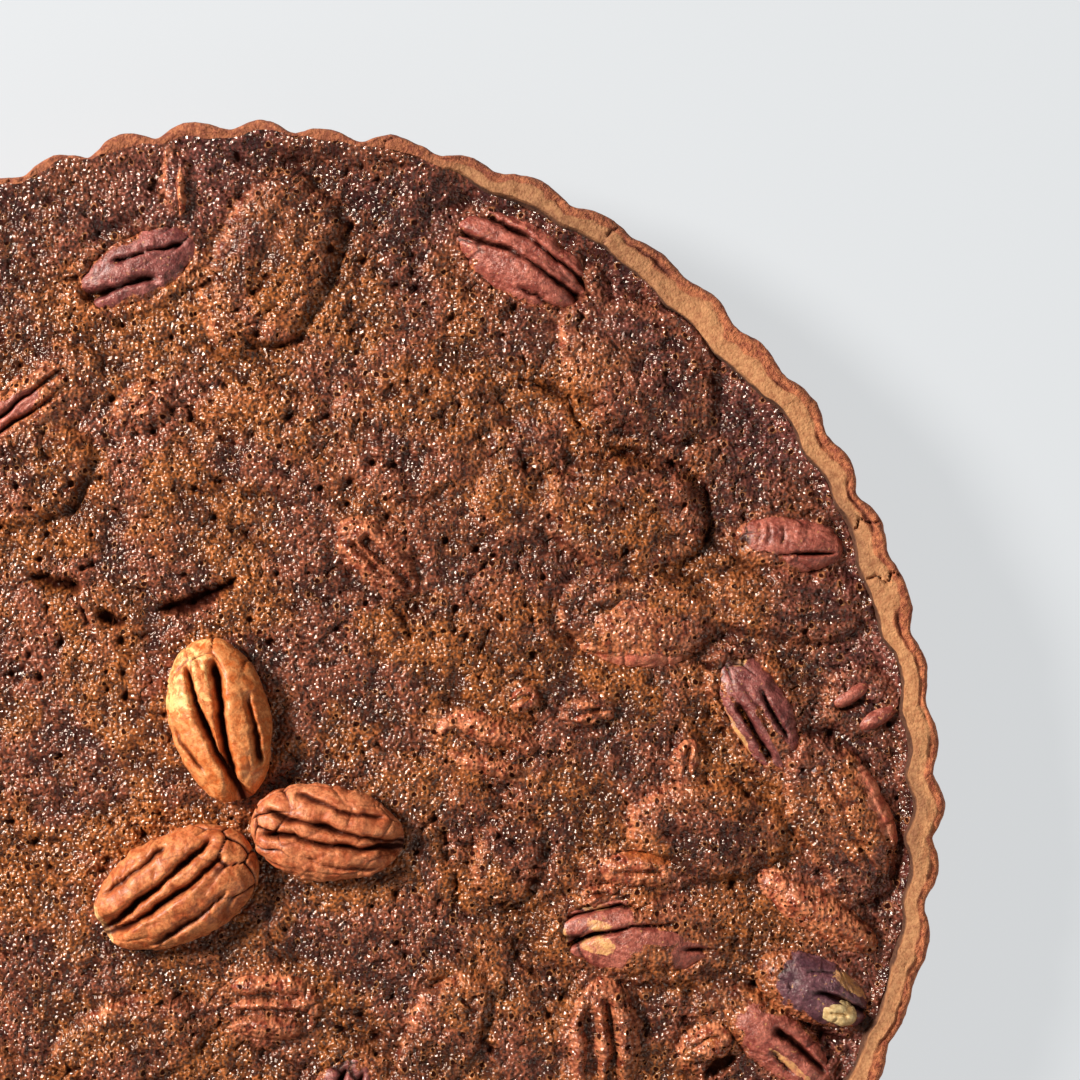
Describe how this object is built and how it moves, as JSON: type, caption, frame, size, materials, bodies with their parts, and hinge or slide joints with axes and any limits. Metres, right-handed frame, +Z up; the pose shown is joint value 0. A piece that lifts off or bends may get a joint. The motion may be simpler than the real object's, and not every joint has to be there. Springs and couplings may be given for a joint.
{
  "type": "pecan pie",
  "caption": "Whole round pecan pie: fluted shortcrust case, dark baked custard with pecan halves sunk in it, and loose halves on top.",
  "frame": {"origin": "middle of the tart's flat underside, on the surface it rests on", "axes": "+Z up through the middle of the tart; +X towards the side where the crust's rim shows widest"},
  "size_m": [0.254, 0.254, 0.0309],
  "materials": {
    "crust": "matte, baked golden brown",
    "custard": "glossy and pitted, dark caramel brown",
    "loose_pecan": "satin, toasted orange brown",
    "sunk_pecan": "satin, syrup-glazed red brown"
  },
  "bodies": {
    "root": {"crust": "crust", "custard": "custard", "loose_pecan_01": "loose_pecan", "loose_pecan_02": "loose_pecan", "loose_pecan_03": "loose_pecan", "sunk_pecan_01": "sunk_pecan", "sunk_pecan_02": "sunk_pecan", "sunk_pecan_03": "sunk_pecan", "sunk_pecan_04": "sunk_pecan", "sunk_pecan_05": "sunk_pecan", "sunk_pecan_06": "sunk_pecan", "sunk_pecan_07": "sunk_pecan", "sunk_pecan_08": "sunk_pecan", "sunk_pecan_09": "sunk_pecan", "sunk_pecan_10": "sunk_pecan", "sunk_pecan_11": "sunk_pecan", "sunk_pecan_12": "sunk_pecan", "sunk_pecan_13": "sunk_pecan", "sunk_pecan_14": "sunk_pecan", "sunk_pecan_15": "sunk_pecan", "sunk_pecan_16": "sunk_pecan", "sunk_pecan_17": "sunk_pecan", "sunk_pecan_18": "sunk_pecan", "sunk_pecan_19": "sunk_pecan", "sunk_pecan_20": "sunk_pecan", "sunk_pecan_21": "sunk_pecan", "sunk_pecan_22": "sunk_pecan", "sunk_pecan_23": "sunk_pecan", "sunk_pecan_24": "sunk_pecan", "sunk_pecan_25": "sunk_pecan"}
  },
  "joints": []
}
